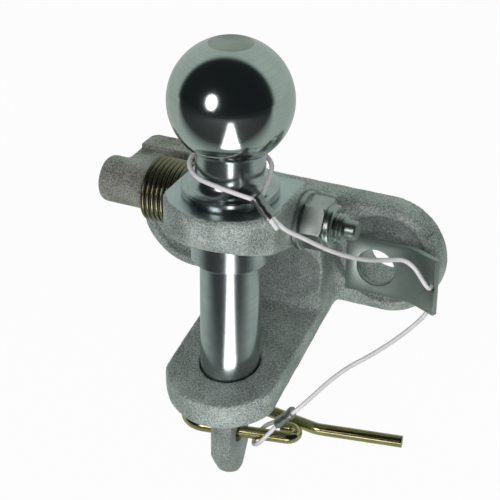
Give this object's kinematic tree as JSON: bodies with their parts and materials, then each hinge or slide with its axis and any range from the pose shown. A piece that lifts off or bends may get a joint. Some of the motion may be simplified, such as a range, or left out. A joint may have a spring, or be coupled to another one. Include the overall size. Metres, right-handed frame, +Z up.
{
  "type": "bolt-on tow ball",
  "caption": "Forged bolt-on tow hitch jaw with a combined tow ball and drawbar pin, sprung release lever, wire retaining clip and cable lanyard.",
  "frame": {"origin": "midway between the two bolt holes, on the flat mounting face of the back plate", "axes": "X along the row of bolt holes, to the right seen from behind the vehicle; Y towards the vehicle, out of the mounting face; Z up along the ball and pin"},
  "size_m": [0.1455, 0.095, 0.1959],
  "materials": {
    "forging": "rough forged, zinc plated",
    "turned_steel": "turned and zinc plated",
    "shaft_steel": "bright zinc",
    "lever_casting": "rough cast, plated",
    "spring_steel": "olive plated wire",
    "washer_steel": "bright zinc",
    "nut_steel": "bright zinc",
    "insert_nylon": "moulded nylon",
    "tab_sheet": "smooth zinc sheet",
    "clip_wire": "yellow passivated wire",
    "cable_coat": "clear coated wire rope",
    "ferrule": "dull crimped"
  },
  "bodies": {
    "hitch": {"jaw_body": "forging", "ball_pin": "turned_steel", "lever_spring": "spring_steel", "lanyard_tab": "tab_sheet", "cable_neck_loop": "cable_coat", "cable_tail": "cable_coat", "cable_upper_run": "cable_coat", "cable_lower_run": "cable_coat", "cable_clip_loop": "cable_coat", "upper_ferrule": "ferrule", "lower_ferrule": "ferrule"},
    "lever": {"release_lever": "lever_casting", "lock_shaft": "shaft_steel", "shaft_washer": "washer_steel", "lock_nut": "nut_steel", "nut_insert": "insert_nylon"},
    "clip": {"retaining_clip": "clip_wire"}
  },
  "joints": [
    {"name": "lever_turn", "type": "hinge", "parent": "hitch", "child": "lever", "pos_m": [0, -0.051, 0.0335], "axis": [1, 0, 0], "range_deg": [0, 90], "stiffness_Nm_per_rad": 0.2, "springref_deg": -28.65, "deforming": ["lever_spring"]},
    {"name": "clip_swing", "type": "hinge", "parent": "hitch", "child": "clip", "pos_m": [0, -0.068, -0.0655], "axis": [0.9816, 0.1908, 0], "range_deg": [-35, 30]}
  ]
}
